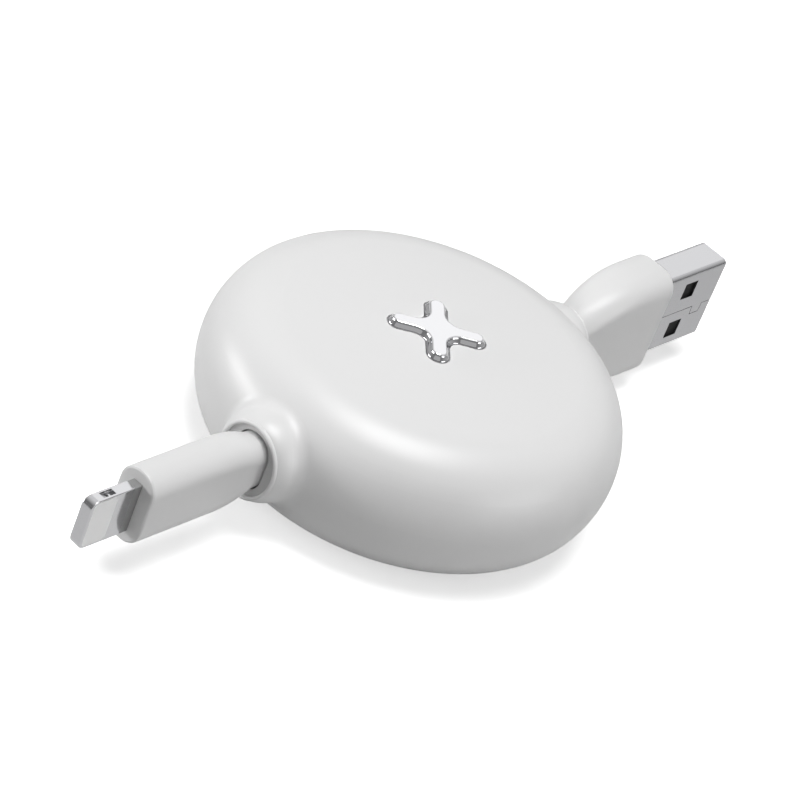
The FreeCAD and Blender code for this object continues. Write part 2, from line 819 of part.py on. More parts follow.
def lead_line():
    """Where a lead leaves the winding, and where it meets the curve into the outlet.

    The last half turn runs anticlockwise and the outlet's curve clockwise, so the lead crosses
    between the two circles. Returns both points and the angle at which the winding is left.
    """
    winding = half_turns(size("first_turn"), size("turn_step"), CABLE_HALF_TURNS)[-1]
    guide = Vector(size("guide_end"), -size("guide_radius"), 0)
    apart = guide - winding["centre"]
    lean = math.acos(-(winding["radius"] + size("guide_radius")) / apart.Length)
    across = math.atan2(apart.y, apart.x) + lean
    normal = Vector(math.cos(across), math.sin(across), 0)
    leave = winding["centre"] - winding["radius"] * normal
    meet = guide + size("guide_radius") * normal
    angle = math.atan2(-normal.y, -normal.x) % (2 * math.pi)
    return leave, meet, angle


def winding_runs():
    """One half of the cable, from the hub outwards to where its lead leaves the winding."""
    runs = half_turns(size("first_turn"), size("turn_step"), CABLE_HALF_TURNS)
    last = runs[-1]
    angle = lead_line()[2]
    last["end"] = last["start"] + (angle - last["start"]) % (2 * math.pi)
    return runs


def make_cable():
    """The wound cable in one length: out round the reel from both ends of a loop inside the hub."""
    outward = winding_runs()
    first, bight = size("first_turn"), size("bight_radius")
    round_bearing = first - 2 * bight
    quarter = math.pi / 2
    loop_runs = [
        arc_run(Vector(bight - first, 0, 0), bight, 2 * quarter, 0),
        arc_run(Vector(), round_bearing, 2 * quarter, 3 * quarter),
        line_run(Vector(0, -round_bearing, 0), Vector(first - round_bearing, -round_bearing, 0)),
        arc_run(Vector(first - round_bearing, 0, 0), round_bearing, -quarter, 0),
    ]
    other = reversed_runs([turned_round(run) for run in outward])
    thick, half = size("cable_thick"), size("cable_half_width")
    piece("wound_cable", fixed("WoundCable", strip(other + loop_runs + outward, thick, -half, half)))

    leave, meet, angle = lead_line()
    guide = Vector(size("guide_end"), -size("guide_radius"), 0)
    bend_start = math.atan2(meet.y - guide.y, meet.x - guide.x)
    lead = [
        line_run(leave, meet),
        arc_run(guide, size("guide_radius"), bend_start, quarter),
        line_run(Vector(size("guide_end"), 0, 0), Vector(size("neck_end"), 0, 0)),
    ]
    piece("usb_lead", fixed("UsbLead", strip(lead, thick, -half, half)))
    other_lead = [turned_round(run) for run in lead]
    piece("phone_lead", fixed("PhoneLead", strip(other_lead, thick, -half, half)))


# The pawl


def pivot_point():
    angle = math.radians(PIVOT_ANGLE)
    return size("pivot_reach") * Vector(math.cos(angle), math.sin(angle), 0)


def spring_anchor():
    """The middle of the peg that the pawl's spring is hooked round."""
    return Vector(-7.5, 15.8, 0)


def polar(radius, degrees):
    angle = math.radians(degrees)
    return Vector(radius * math.cos(angle), radius * math.sin(angle), 0)


def pawl_outline():
    """The pawl's corners with its nose against a tooth, from the nose's low corner anticlockwise."""
    pivot, half = pivot_point(), 0.92 * size("pawl_eye")
    nose_angle = PAWL_TOOTH_ANGLE - 2.5
    nose_low = polar(size("ratchet_root") + 0.3, nose_angle)
    nose_high = polar(size("ratchet_tip") + 0.6, nose_angle)
    heel = polar(size("ratchet_root") + 0.75, nose_angle - 9)
    arm = (pivot - nose_high).normalize()
    across = Vector(-arm.y, arm.x, 0)
    return [nose_low, heel, pivot - across * half, pivot + across * half, nose_high]


def pawl_shape():
    """The pawl, swung clear of the teeth about its pivot by the release angle."""
    pivot, points = pivot_point(), pawl_outline()
    low, high = size("pawl_low"), size("pawl_high")
    up = Vector(0, 0, 1)
    bar = Part.Face(Part.makePolygon(points + points[:1]))
    bar.translate(up * low)
    bar = bar.extrude(up * (high - low))
    eye_ring = Part.makeCylinder(size("pawl_eye"), high - low, pivot + up * low)
    hole = Part.makeCylinder(size("pivot_radius + running_gap"), 4, pivot + up * (low - 1))
    solid = bar.fuse(eye_ring).cut(hole).removeSplitter()
    solid.rotate(pivot, up, -PAWL_RELEASE_ANGLE)
    return solid


def make_pawl():
    piece("pawl", fixed("Pawl", pawl_shape()))
    # its spring is a leaf hooked round a peg, whose free end lies on the pawl's back
    thick, slack = size("leaf_thick"), 0.03
    swing = Rotation(Vector(0, 0, 1), -PAWL_RELEASE_ANGLE)
    pivot = pivot_point()
    root, nose = [pivot + swing.multVec(point - pivot) for point in pawl_outline()[3:]]
    along = (root - nose).normalize()
    outward = Vector(-along.y, along.x, 0)
    touch = nose + along * 1.2 + outward * (thick / 2 + slack)
    anchor = spring_anchor()
    wrap = size("anchor_radius") + slack + thick / 2
    apart = touch - anchor
    leave_angle = math.atan2(apart.y, apart.x) + math.acos(wrap / apart.Length)
    leave = anchor + wrap * Vector(math.cos(leave_angle), math.sin(leave_angle), 0)
    runs = [
        arc_run(anchor, wrap, leave_angle + math.radians(250), leave_angle),
        line_run(leave, touch),
    ]
    shape = strip(runs, thick, size("pawl_low") + 0.15, size("pawl_high") - 0.15)
    piece("pawl_spring", fixed("PawlSpring", shape))


# The plugs


def moulding(plug, grow):
    """A plug's soft body: it swells from the neck to its full height, then ends in a soft edge."""
    front, full, tall = size(f"{plug}_front"), size(f"{plug}_full"), size(f"{plug}_tall")
    wide, corner, edge = size(f"{plug}_wide"), size(f"{plug}_corner"), size(f"{plug}_edge")
    start, neck_tall, neck_wide = size("neck_shoulder"), size("neck_tall"), size("neck_wide")
    wires = []
    for share in (0.0, 0.09, 0.22, 0.4, 0.62, 0.85):
        swell = 1 - (1 - share) ** grow
        section_tall = neck_tall + (tall - neck_tall) * swell
        section_wide = neck_wide + (wide - neck_wide) * swell
        station = start + share * (full - start)
        wires.append(rounded_wire(station, section_tall, section_wide, corner))
    wires.append(rounded_wire(full, tall, wide, corner))
    body = Part.makeLoft(wires, True, False)
    # the front edge is eased in two short steps
    eased = ((full, 0.0), (front - edge, 0.0), (front - 0.3 * edge, 0.28 * edge), (front, edge))
    bar = Part.makeLoft([rounded_wire(x, tall - i, wide - i, corner - i) for x, i in eased], True, True)
    neck = prism_along_x(neck_tall, neck_wide, corner, size("neck_end"), start)
    return body.fuse([bar, neck]).removeSplitter()


def make_usb_plug():
    tip = size("usb_tip")
    tall, wide = size("shell_tall") / 2, size("shell_wide") / 2
    inner_end, sheet = size("shell_inner_end"), size("shell_sheet")
    corner = size("shell_corner")
    inner_start = 32.0

    body = moulding("usb", 2.6)
    shell_bar = prism_along_x(tall, wide, corner, inner_end, tip)
    inner_block = prism_along_x(tall - 0.8, wide - 0.4, corner, inner_start, inner_end)
    piece("usb_overmould", fixed("UsbOvermould", body.cut(shell_bar).cut(inner_block)))
    piece("usb_inner_mould", fixed("UsbInnerMould", inner_block))

    hollow = prism_along_x(tall - sheet, wide - sheet, corner - sheet, inner_end - 1, tip + 1)
    shell = shell_bar.cut(hollow)
    side = size("window_side")
    window_x = tip - size("window_from_tip") - side
    for sign in (-1, 1):
        low = size("window_from_centre") if sign > 0 else -size("window_from_centre") - side
        shell = shell.cut(Part.makeBox(side, 2 * wide + 2, side, Vector(window_x, -wide - 1, low)))
    shell = shell.cut(seam_tool(tip, wide))
    piece("usb_shell", fixed("UsbShell", shell))

    # the tongue lies against the seamed side, and its four contacts face the open side
    tongue_wide, tongue_tall = size("tongue_wide"), size("tongue_tall")
    tongue_low = -wide + sheet + 0.05
    tongue_end = tip - size("tongue_from_tip")
    tongue = Part.makeBox(
        tongue_end - inner_end, tongue_wide, tongue_tall, Vector(inner_end, tongue_low, -tongue_tall / 2)
    )
    lead_in = [e for e in tongue.Edges if all(abs(v.X - tongue_end) < 1e-6 for v in e.Vertexes)]
    piece("usb_tongue", fixed("UsbTongue", tongue.makeChamfer(0.3, lead_in)))
    face = tongue_low + tongue_wide
    contact_wide, contact_thick = size("contact_wide"), size("contact_thick")
    start = size("contact_start")
    # the outer two contacts reach further forward, so that power joins before data
    layout = (-3.5, 0.7), (-1.0, 1.7), (1.0, 1.7), (3.5, 0.7)
    for number, (centre, back) in enumerate(layout, start=1):
        end = tongue_end - back
        strip_box = Part.makeBox(
            end - start, contact_thick, contact_wide, Vector(start, face, centre - contact_wide / 2)
        )
        piece(f"usb_contact_{number}", fixed(f"UsbContact{number}", strip_box))


def keeps(edge, axis, value):
    """Whether an edge lies all at one value along an axis."""
    return all(abs(getattr(corner, axis) - value) < 1e-6 for corner in edge.Vertexes)


def level(edge, axis):
    """Whether an edge stays at one value along an axis."""
    return keeps(edge, axis, getattr(edge.Vertexes[0], axis))


def seam_tool(tip, wide):
    """A thin cutter for the seam where the rolled shell closes, with its dovetail near the tip."""
    level, drop = -0.25, -1.54
    jog_near, jog_far = tip - 3.8, tip - 1.85
    line = [
        (size("shell_inner_end") - 1, level),
        (jog_near, level),
        (jog_near + 0.1, drop),
        (jog_far - 0.1, drop),
        (jog_far + 0.1, level),
        (tip + 1, level),
    ]
    half = 0.045
    slab = None
    for (x0, z0), (x1, z1) in zip(line, line[1:]):
        run = Vector(x1 - x0, 0, z1 - z0)
        along = Vector(run).normalize()
        off = Vector(-along.z, 0, along.x) * half
        a, b = Vector(x0, 0, z0) - along * half, Vector(x1, 0, z1) + along * half
        quad = Part.Face(Part.makePolygon([a + off, b + off, b - off, a - off, a + off]))
        quad.translate(Vector(0, -wide - 1, 0))
        bar = quad.extrude(Vector(0, 1 + 0.6, 0))
        slab = bar if slab is None else slab.fuse(bar)
    return slab.removeSplitter()


def make_phone_plug():
    """The phone plug, drawn at +X and turned to its own side at the end."""
    tip = size("phone_tip")
    tall, wide = size("tab_tall") / 2, size("tab_wide") / 2
    stem_tall, stem_wide = size("tab_stem_tall") / 2, size("tab_stem_wide") / 2
    stem_end, collar_end = size("tab_stem_end"), size("tab_collar_end")
    inner_start = 37.5

    body = moulding("phone", 2.2)
    collar_bar = prism_along_x(tall, wide, 0.2, stem_end, collar_end)
    inner_block = prism_along_x(tall + 0.45, wide + 1.0, 1.2, inner_start, stem_end)
    stem = prism_along_x(stem_tall, stem_wide, 0.2, stem_end, collar_end)

    # the metal tab: a round-cornered plate with a shallow bed on each broad face
    plate = Part.makeBox(tip - collar_end, 2 * wide, 2 * tall, Vector(collar_end, -wide, -tall))
    corners = [edge for edge in plate.Edges if keeps(edge, "X", tip) and level(edge, "Z")]
    plate = plate.makeFillet(size("tab_corner"), corners)
    rim = [
        edge
        for edge in plate.Edges
        if (keeps(edge, "Y", wide) or keeps(edge, "Y", -wide)) and not keeps(edge, "X", collar_end)
    ]
    plate = plate.makeFillet(0.12, rim)
    beds = []
    pad_low, pad_high = size("pad_start"), size("pad_end")
    for sign in (-1, 1):
        half, deep = size("pad_half"), size("pad_deep")
        low = -wide if sign < 0 else wide - deep
        bed = Part.makeBox(pad_high - pad_low, deep, 2 * half, Vector(pad_low, low, -half))
        corners = [e for e in bed.Edges if abs(e.Vertexes[0].Y - e.Vertexes[1].Y) > 1e-6]
        beds.append(bed.makeFillet(size("pad_corner"), corners))
    tab = plate.fuse(stem)
    for bed in beds:
        tab = tab.cut(bed)
    for sign in (-1, 1):
        tab = tab.cut(detent_tool(sign, tall))
    solids = {
        "phone_overmould": body.cut(collar_bar).cut(inner_block),
        "phone_inner_mould": inner_block,
        "phone_collar": collar_bar.cut(stem),
        "phone_tab": tab.removeSplitter(),
        "phone_pad_front": beds[0],
        "phone_pad_rear": beds[1],
    }
    for label, shape in solids.items():
        name = "".join(word.capitalize() for word in label.split("_"))
        piece(label, fixed(name, mirrored_x(shape)))


def detent_tool(sign, tall):
    """The notch that a port's spring drops into, sloped towards the tip, in one narrow side."""
    start, end, deep = size("detent_start"), size("detent_end"), size("detent_deep")
    half = size("detent_half")
    top = tall + 0.2
    points = [
        Vector(start, -half, top),
        Vector(start, -half, tall - deep),
        Vector(start + 0.7, -half, tall - deep),
        Vector(end, -half, tall - 0.08),
        Vector(end, -half, top),
    ]
    face = Part.Face(Part.makePolygon(points + points[:1]))
    tool = face.extrude(Vector(0, 2 * half, 0))
    return tool if sign > 0 else tool.mirror(Vector(), Vector(0, 0, 1))


# Build, test and write


def write_pieces():
    doc.recompute()
    for thing in doc.Objects:
        if "Invalid" in thing.State or "Error" in thing.State:
            raise RuntimeError(f"{thing.Name} ({thing.Label}) did not recompute: {thing.State}")
    os.makedirs("parts", exist_ok=True)
    for thing in pieces:
        shape = thing.Shape
        if shape.isNull() or not shape.isValid():
            raise RuntimeError(f"{thing.Label} has no valid shape")
        if len(shape.Solids) != 1:
            raise RuntimeError(f"{thing.Label} is {len(shape.Solids)} solids")
        shape.exportStep(f"parts/{thing.Label}.step")
        print(f"{thing.Label:22s} {shape.Volume:9.2f} mm3")


make_shells()
make_badge()
make_bushes()
make_arbor()
make_reel()
make_reel_cap()
make_spring_cover()
make_power_spring()
make_cable()
make_pawl()
make_usb_plug()
make_phone_plug()
write_pieces()
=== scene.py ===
# %% [markdown]
# # A pocket charging cable on a spring reel
#
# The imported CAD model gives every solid, its place and how it moves. This lesson dresses it for a
# studio photograph: the camera, the plastics and metals, the few forms that CAD leaves plain, the
# floor and the lamps. Lengths are in metres in the CAD's frame: Z up along the reel's axis, X along
# the two outlets, and the origin in the middle of the underside.

# %% Start
import bmesh
import bpy
import json
import math
from mathutils import Euler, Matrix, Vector


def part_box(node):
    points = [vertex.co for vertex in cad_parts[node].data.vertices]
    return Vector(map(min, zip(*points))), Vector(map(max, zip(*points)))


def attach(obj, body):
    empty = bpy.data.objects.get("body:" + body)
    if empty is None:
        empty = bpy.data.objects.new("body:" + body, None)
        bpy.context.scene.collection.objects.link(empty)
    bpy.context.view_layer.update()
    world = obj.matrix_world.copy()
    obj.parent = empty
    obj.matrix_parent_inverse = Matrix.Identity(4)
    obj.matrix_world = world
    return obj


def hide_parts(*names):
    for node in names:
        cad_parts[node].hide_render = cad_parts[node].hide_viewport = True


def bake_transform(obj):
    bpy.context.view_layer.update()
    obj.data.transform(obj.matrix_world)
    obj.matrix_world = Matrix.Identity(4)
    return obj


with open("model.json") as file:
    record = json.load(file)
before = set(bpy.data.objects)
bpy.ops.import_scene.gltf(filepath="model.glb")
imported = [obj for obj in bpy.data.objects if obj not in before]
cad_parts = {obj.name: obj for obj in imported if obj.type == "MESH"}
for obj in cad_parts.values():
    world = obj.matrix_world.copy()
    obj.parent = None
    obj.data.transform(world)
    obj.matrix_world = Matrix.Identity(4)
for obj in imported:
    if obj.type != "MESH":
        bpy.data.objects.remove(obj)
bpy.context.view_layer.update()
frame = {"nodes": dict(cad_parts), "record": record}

MM = 0.001
AXIS_HEIGHT = 9.8 * MM
cad_nodes = frame["nodes"]
scene = bpy.context.scene

# %% [markdown]
# ## Camera
#
# The photograph looks down at about 34 degrees from the phone plug's side, and it is turned in
# its frame, so the camera is rolled. It could be aimed with a tracking constraint, but a roll would
# still have to be added, so its place and its three turns are written out. A long lens from almost
# half a metre away keeps the plugs' sides nearly parallel, as they are in the photograph.

# %% Camera
CAMERA_PLACE = Vector((-337.63, -199.68, 272.43)) * MM
CAMERA_TURN_DEGREES = (54.03, -18.33, -46.40)
LENS_MM = 179.25
SENSOR_MM = 36.0
CLIP_NEAR = 0.02
CLIP_FAR = 20.0

camera_data = bpy.data.cameras.new("Camera")
camera_data.lens = LENS_MM
camera_data.sensor_width = SENSOR_MM
camera_data.clip_start = CLIP_NEAR
camera_data.clip_end = CLIP_FAR
camera = bpy.data.objects.new("Camera", camera_data)
camera.location = CAMERA_PLACE
camera.rotation_euler = Euler([math.radians(turn) for turn in CAMERA_TURN_DEGREES], "XYZ")
scene.collection.objects.link(camera)
scene.camera = camera
print(f"camera {CAMERA_PLACE.length / MM:.0f} mm from the pod, {LENS_MM} mm lens")

# %% [markdown]
# ## Helpers for materials
#
# Colours are written as they look on a screen, in hex, and one function turns them into the linear
# values that a shader wants. A second small function adds a node with its settings. Both keep the
# materials below down to the facts about each surface.

# %% Colour and node helpers


def linear(hex_colour):
    """A hex colour as the shader's linear red, green, blue and alpha, by the sRGB curve."""
    channels = [int(hex_colour[k : k + 2], 16) / 255 for k in (1, 3, 5)]
    return [c / 12.92 if c <= 0.04045 else ((c + 0.055) / 1.055) ** 2.4 for c in channels] + [1.0]


def add_node(tree, kind, links=(), **settings):
    """A new node. Settings named like its inputs set those, and the others set its properties.

    Each of the links is an output of another node and the name or number of an input here.
    """
    node = tree.nodes.new(kind)
    for name, value in settings.items():
        socket = name.replace("_", " ")
        if socket in node.inputs:
            node.inputs[socket].default_value = value
        else:
            setattr(node, name, value)
    for output, socket in links:
        tree.links.new(output, node.inputs[socket])
    return node


print(f"plastic of #E6E6E6 gives back {linear('#E6E6E6')[0]:.2f} of the light")

# %% [markdown]
# ## One recipe for moulded and plated surfaces
#
# No surface here has a pattern that the eye can read, yet none is perfectly even: a mould leaves a
# fine satin texture, and rolled sheet has a faint grain along its length. Noise in the object's own
# coordinates varies the roughness a little, and a bump of the same noise gives the texture its
# depth. Image textures would do the same but need a file. A number that is the same all over is set
# on the shader's own socket.

# %% Surface recipe
NOISE_DETAIL = 3.0


def surface(name, colour, roughness, grain_mm, uneven=0.03, depth_mm=0.0, along_x=1.0, **more):
    """A material with a fine, slightly uneven surface.

    grain_mm is the size of the grain, uneven is how much the roughness varies, and depth_mm is how
    deep the grain is. along_x stretches the grain along the plugs.
    """
    made = bpy.data.materials.new(name)
    made.use_nodes = True
    tree = made.node_tree
    shader = tree.nodes["Principled BSDF"]
    shader.inputs["Base Color"].default_value = linear(colour)
    for key, value in more.items():
        shader.inputs[key.replace("_", " ")].default_value = value
    place = add_node(tree, "ShaderNodeTexCoord")
    scale = 1 / (grain_mm * MM)
    stretched = (scale / along_x, scale, scale)
    spread_out = add_node(
        tree, "ShaderNodeMapping", [(place.outputs["Object"], "Vector")], Scale=stretched
    )
    grain = [(spread_out.outputs[0], "Vector")]
    noise = add_node(tree, "ShaderNodeTexNoise", grain, Scale=1.0, Detail=NOISE_DETAIL)
    gloss = add_node(
        tree,
        "ShaderNodeMapRange",
        [(noise.outputs["Fac"], "Value")],
        To_Min=roughness - uneven,
        To_Max=roughness + uneven,
    )
    tree.links.new(gloss.outputs["Result"], shader.inputs["Roughness"])
    if depth_mm:
        height = [(noise.outputs["Fac"], "Height")]
        relief = add_node(tree, "ShaderNodeBump", height, Strength=1.0, Distance=depth_mm * MM)
        tree.links.new(relief.outputs["Normal"], shader.inputs["Normal"])
    return made


SATIN_GRAIN_MM = 0.4
print(f"a {SATIN_GRAIN_MM} mm grain repeats {1 / SATIN_GRAIN_MM:.1f} times in a millimetre")

# %% [markdown]
# ## White plastics
#
# The pod is ABS, moulded in a tool with a fine satin finish. The plugs and the cable are TPE, a
# soft rubbery plastic that is moulded round the metal parts. They could share one white, but the
# real ones differ a little in gloss, so each has its own. A real satin grain is about 0.05 mm, too
# fine to show at this distance, so it is drawn at 0.4 mm. The colours are a light grey in hex,
# because a real white plastic gives back four fifths of the light and not all of it.

# %% White plastics
ABS_IOR = 1.53
TPE_IOR = 1.5
SATIN_DEPTH_MM = 0.0006

FINISHES = {
    # the broad highlight along the shoulder is soft, and no reflection has an edge
    "pod_white": surface(
        "satin_moulded_abs", "#E6E6E6", roughness=0.36, grain_mm=SATIN_GRAIN_MM,
        uneven=0.02, depth_mm=SATIN_DEPTH_MM, IOR=ABS_IOR,
    ),
    # inside, where nobody polishes the mould: flatter and slightly greyer than the pod
    "reel_white": surface(
        "plain_moulded_abs", "#DCDCDC", roughness=0.42, grain_mm=0.5, uneven=0.05, IOR=ABS_IOR
    ),
    # a step darker than the pod, so that each outlet reads as a separate ring: painted shade
    # for the recess round the outlet
    "bush_grey": surface(
        "abs_with_painted_outlet_shade", "#CCCCCC", roughness=0.4, grain_mm=SATIN_GRAIN_MM,
        uneven=0.04, IOR=ABS_IOR,
    ),
    # rubbery skin: the highlight spreads a little wider than on the pod
    "plug_white": surface(
        "moulded_tpe", "#E6E6E6", roughness=0.38, grain_mm=0.3,
        uneven=0.03, depth_mm=SATIN_DEPTH_MM, IOR=TPE_IOR,
    ),
    # drawn through a die: dull, with a faint unevenness along the flat sides
    "cable_white": surface(
        "extruded_tpe", "#E0E0E0", roughness=0.5, grain_mm=0.6,
        uneven=0.05, depth_mm=0.01, IOR=TPE_IOR,
    ),
}
print(f"{len(FINISHES)} white plastics")

# %% [markdown]
# ## Technical plastics
#
# The small parts are of plastics chosen for their work: acetal runs against the reel without
# wearing, resin pots the boards, glass-filled nylon carries the tab, and liquid crystal polymer
# holds contacts because it fills thin moulds. All are moulded and left as they come.

# %% Technical plastics
ACETAL_IOR = 1.48
RESIN_IOR = 1.52
NYLON_IOR = 1.53
LCP_IOR = 1.6

FINISHES.update(
    # slightly yellow and waxy beside the whites
    arbor_acetal=surface(
        "moulded_acetal", "#DAD8D0", roughness=0.4, grain_mm=0.5, uneven=0.05, IOR=ACETAL_IOR
    ),
    # dark green and dull, like a board seen through its coating
    inner_mould=surface(
        "potting_resin", "#3A5444", roughness=0.5, grain_mm=0.5, uneven=0.05, IOR=RESIN_IOR
    ),
    # mid grey and matt, which sets the bright tab off from the white plug
    collar_grey=surface(
        "glass_filled_nylon", "#8E8E8E", roughness=0.4, grain_mm=0.3, uneven=0.04, IOR=NYLON_IOR
    ),
    # swallows most of the light, so that the USB windows look deep
    tongue_black=surface(
        "black_lcp", "#0C0C0D", roughness=0.55, grain_mm=0.3, uneven=0.05, Specular_IOR_Level=0.15
    ),
    # very pale under a second gloss layer: the brightest patch on the tab
    pad_pale=surface(
        "pale_lcp", "#FAFAFA", roughness=0.22, grain_mm=0.3,
        uneven=0.03, IOR=LCP_IOR, Coat_Weight=1.0,
    ),
)
print(f"{len(FINISHES)} plastics so far")

# %% [markdown]
# ## Metals
#
# The badge is chrome plate over plastic, almost a mirror. The USB shell is folded from rolled steel
# sheet with bright nickel over it, so its grain runs along the plug, and the phone plug's tab is
# polished steel. Metals take their look from what they reflect: their colour here is that of the
# metal itself, and the lamps and the backdrop below give them their light and dark sides. Grain
# left by rolling is about 0.05 mm wide, and it is drawn at 0.2 mm to show at all.

# %% Metals
ROLLED_GRAIN_MM = 0.2

FINISHES.update(
    # sharp reflections, dark where the sides look away from the backdrop
    badge_chrome=surface(
        "chrome_plate", "#D0D0D2", roughness=0.07, grain_mm=0.8, uneven=0.015, Metallic=1.0
    ),
    # a soft sheen in long streaks, darker than the chrome
    plug_nickel=surface(
        "nickel_plated_sheet", "#B6B6B8", roughness=0.2, grain_mm=ROLLED_GRAIN_MM,
        uneven=0.03, along_x=12.0, Metallic=1.0,
    ),
    # brighter and sharper than the nickel, with only a trace of its streaks
    tab_steel=surface(
        "polished_steel", "#BEBEC0", roughness=0.12, grain_mm=ROLLED_GRAIN_MM,
        uneven=0.02, along_x=8.0, Metallic=1.0,
    ),
    # passivated zinc is dull and slightly mottled
    screw_steel=surface(
        "zinc_plated_steel", "#A8A8AA", roughness=0.3, grain_mm=0.3, uneven=0.06, Metallic=1.0
    ),
    # heat-treated strip keeps a blue-grey oxide that looks dark beside the plated parts
    spring_steel=surface(
        "blued_spring_steel", "#6E747C", roughness=0.3, grain_mm=0.3,
        uneven=0.05, along_x=4.0, Metallic=1.0,
    ),
    # the one warm colour, on the contacts inside the USB plug
    contact_gold=surface(
        "gold_plate", "#E0B45A", roughness=0.2, grain_mm=0.2, uneven=0.02, Metallic=1.0
    ),
)
print(f"{len(FINISHES)} finishes in all")

# %% [markdown]
# ## Finishes on the CAD solids
#
# The record says which finish each solid has. The solids keep their meshes, and only the material
# in their first slot changes.

# %% Finishes on the CAD solids
for part_row in frame["record"]["subparts"]:
    mesh = cad_nodes[part_row["node"]].data
    finish = FINISHES[part_row["material_slot"]]
    if mesh.materials:
        mesh.materials[0] = finish
    else:
        mesh.materials.append(finish)

# %% [markdown]
# ## A helper that skins rings
#
# The three pieces below are all one outline carried along a path, so one helper joins rings of
# points into a smooth mesh. A bevel modifier on an extruded outline would also round the edges, but
# rings give each one its exact profile. The second helper gives a piece its finish.

# %% Ring helpers


def skin_rings(name, rings, closed=False, cap=False):
    """A smooth mesh over rings of points; closed joins the last ring to the first, cap fills it."""
    count = len(rings[0])
    faces = []
    for row in range(len(rings) if closed else len(rings) - 1):
        low, high = row * count, (row + 1) % len(rings) * count
        for k in range(count):
            after = (k + 1) % count
            faces.append((low + k, low + after, high + after, high + k))
    mesh = bpy.data.meshes.new(name)
    mesh.from_pydata([point for ring in rings for point in ring], [], faces)
    mesh.polygons.foreach_set("use_smooth", [True] * len(faces))
    if cap:
        edit = bmesh.new()
        edit.from_mesh(mesh)
        edit.verts.ensure_lookup_table()
        edit.faces.new(edit.verts[-count:]).smooth = False
        edit.to_mesh(mesh)
        edit.free()
    made = bpy.data.objects.new(name, mesh)
    scene.collection.objects.link(made)
    return made


def finish_piece(piece, slot):
    """Gives a piece the finish of one of the record's slots."""
    piece.data.materials.append(FINISHES[slot])
    return piece


print("two helpers: skin_rings makes a piece, finish_piece gives it a finish")

# %% [markdown]
# ## Outlet lips
#
# Each outlet ends in a small rounded lip that catches the light all round. It stands out of the
# boss, so the boss's solid stays as it is and a ring with a round section is laid over its rim. The
# rim is a slightly tall oval. A torus would be round, so the ring is made from its own two radii.

# %% Outlet lips
RIM_X = 28.3 * MM
RIM_TALL = 4.89 * MM
RIM_WIDE = 4.35 * MM
LIP_RADIUS = 0.26 * MM
LIP_INSET = 0.1 * MM
LIP_STEPS_ROUND = 96
LIP_STEPS_SECTION = 16


def outlet_lip(name, side):
    """The lip of one outlet; side is 1 for the USB outlet and -1 for the phone outlet."""
    rings = []
    for step in range(LIP_STEPS_SECTION):
        turn = 2 * math.pi * step / LIP_STEPS_SECTION
        out = RIM_X + LIP_RADIUS * math.sin(turn)
        reach = LIP_RADIUS * math.cos(turn) - LIP_INSET
        ring = []
        for k in range(LIP_STEPS_ROUND):
            angle = side * 2 * math.pi * k / LIP_STEPS_ROUND
            across = (RIM_WIDE + reach) * math.cos(angle)
            height = AXIS_HEIGHT + (RIM_TALL + reach) * math.sin(angle)
            ring.append((side * out, across, height))
        rings.append(ring)
    lip = finish_piece(skin_rings(name, rings, closed=True), "pod_white")
    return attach(lip, "housing")


for name, side in (("usb_outlet_lip", 1), ("phone_outlet_lip", -1)):
    lip = outlet_lip(name, side)
    print(f"{name}: {len(lip.data.polygons)} faces")

# %% [markdown]
# ## Badge
#
# The chrome cross stands in a pocket, with sides that lean in and an edge that rolls over to the
# flat top. Chrome shows every facet, so it replaces the CAD solid with a finer mesh. The outline is
# built from its arcs: a half circle at the end of each arm and a hollow quarter between two arms.
# Moving it inwards makes the arms' ends smaller and the hollows larger, which keeps it parallel.

# %% Badge outline
BADGE_REACH = 6.11 * MM
BADGE_HALF = 1.45 * MM
BADGE_HOLLOW = 1.5 * MM
ARMS = 4
FIRST_ARM_DEGREES = 45
ARM_STEPS = 16
HOLLOW_STEPS = 10


def arc(centre, start, turn, radius, steps):
    """Points along an arc, from the start angle through a signed turn."""
    angles = [start + turn * k / steps for k in range(steps + 1)]
    return [(centre[0] + radius * math.cos(a), centre[1] + radius * math.sin(a)) for a in angles]


def cross_outline(inset):
    """The badge's outline moved inwards: four round-ended arms on the diagonals."""
    half, hollow_radius = BADGE_HALF - inset, BADGE_HOLLOW + inset
    quarter = math.pi / 2
    points = []
    for arm in range(ARMS):
        heading = math.radians(FIRST_ARM_DEGREES + 360 / ARMS * arm)
        out = Vector((math.cos(heading), math.sin(heading)))
        left = Vector((-out.y, out.x))
        end = out * (BADGE_REACH - BADGE_HALF)
        hollow = (out + left) * (BADGE_HALF + BADGE_HOLLOW)
        points += arc(end, heading - quarter, 2 * quarter, half, ARM_STEPS)
        points += arc(hollow, heading - quarter, -quarter, hollow_radius, HOLLOW_STEPS)
    return points


print(f"outline: {len(cross_outline(0))} points, {2 * BADGE_REACH / MM:.1f} mm across")

# %% [markdown]
# ### The badge's side
#
# Going up from its foot in the pocket, the outline draws in: first by the gap that shows as a dark
# line round the badge, then by the lean of the moulded side, and last by the rolled edge.

# %% Badge
BADGE_FOOT = AXIS_HEIGHT + 9.25 * MM
BADGE_EDGE = AXIS_HEIGHT + 10.08 * MM
BADGE_TOP = AXIS_HEIGHT + 10.78 * MM
BADGE_GAP = 0.12 * MM
BADGE_LEAN = 0.38 * MM
BADGE_ROLL = 0.28 * MM
BADGE_ROLL_TALL = 0.24 * MM
BADGE_SIDE_ROWS = 5
BADGE_ROLL_ROWS = 6


